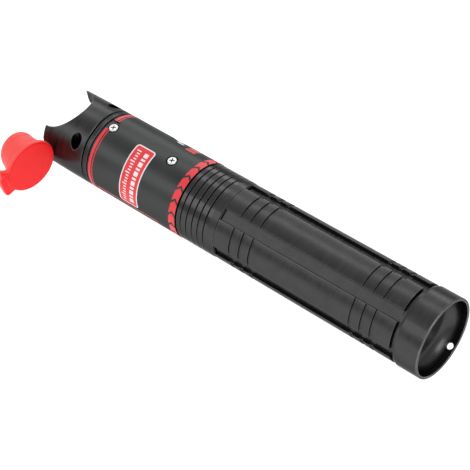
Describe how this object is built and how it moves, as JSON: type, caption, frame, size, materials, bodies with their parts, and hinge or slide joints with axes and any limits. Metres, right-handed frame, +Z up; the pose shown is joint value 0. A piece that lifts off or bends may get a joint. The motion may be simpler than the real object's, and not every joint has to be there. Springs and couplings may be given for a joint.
{
  "type": "visual fault locator",
  "caption": "Pen-size red laser source for tracing optical fibre: crowned head with fibre port, tethered rubber dust cap, slide switch, screw-off battery tube.",
  "frame": {"origin": "centre of the fibre port's mouth, on the barrel's axis", "axes": "+X along the barrel from the head to the tail, +Z up; the barrel lies on its side on a flat surface, its open dust cap on the -Y side"},
  "size_m": [0.1586, 0.0485, 0.0265],
  "materials": {
    "black_anodised": "semi-gloss black anodised",
    "wrap_print": "matte printed film, red bands",
    "screw_steel": "bright nickel plate",
    "cap_rubber": "red moulded rubber",
    "seal_rubber": "black rubber",
    "ceramic": "white zirconia",
    "nickel": "nickel-plated brass",
    "brass": "turned brass",
    "optic_glass": "lens",
    "board_green": "circuit board",
    "black_plastic": "moulded black plastic",
    "cell_steel": "wrapped cell",
    "spring_steel": "spring wire"
  },
  "bodies": {
    "laser_head": {"strike_bezel": "black_anodised", "head_housing": "black_anodised", "printed_wrap": "wrap_print", "rear_thread_sleeve": "nickel", "seal_ring": "seal_rubber", "port_body": "nickel", "ferrule_sleeve": "ceramic", "port_nut": "nickel", "optical_block": "nickel", "laser_module": "brass", "focus_lens": "optic_glass", "laser_diode": "brass", "driver_board": "board_green", "driver_chip": "black_plastic", "contact_plate": "black_plastic", "front_contact": "brass", "switch_board": "board_green", "switch_body": "black_plastic", "head_screws": "screw_steel", "cap_tether": "cap_rubber"},
    "battery_tube": {"battery_tube": "black_anodised", "battery_spring": "spring_steel"},
    "cells": {"battery_front": "cell_steel", "battery_rear": "cell_steel"},
    "switch": {"switch_knob": "black_plastic"},
    "cap": {"dust_cap": "cap_rubber"}
  },
  "joints": [
    {"name": "tube_travel", "type": "slide", "parent": "laser_head", "child": "cells", "axis": [1, 0, 0], "range_m": [0, 0.009]},
    {"name": "tube_turn", "type": "hinge", "parent": "cells", "child": "battery_tube", "pos_m": [0.1, 0, 0], "axis": [-1, 0, 0], "range_deg": [0, 2161]},
    {"name": "switch_slide", "type": "slide", "parent": "laser_head", "child": "switch", "axis": [1, 0, 0], "range_m": [-0.0018, 0]},
    {"name": "cap_swing", "type": "hinge", "parent": "laser_head", "child": "cap", "pos_m": [-0.01329, -0.01082, -0.00051], "axis": [-0.0351, 0.0158, -0.9993], "range_deg": [0, 174.4]}
  ],
  "couplings": [
    {"joint": "tube_turn", "follows": "tube_travel", "rad_per_m": 4188.8}
  ]
}
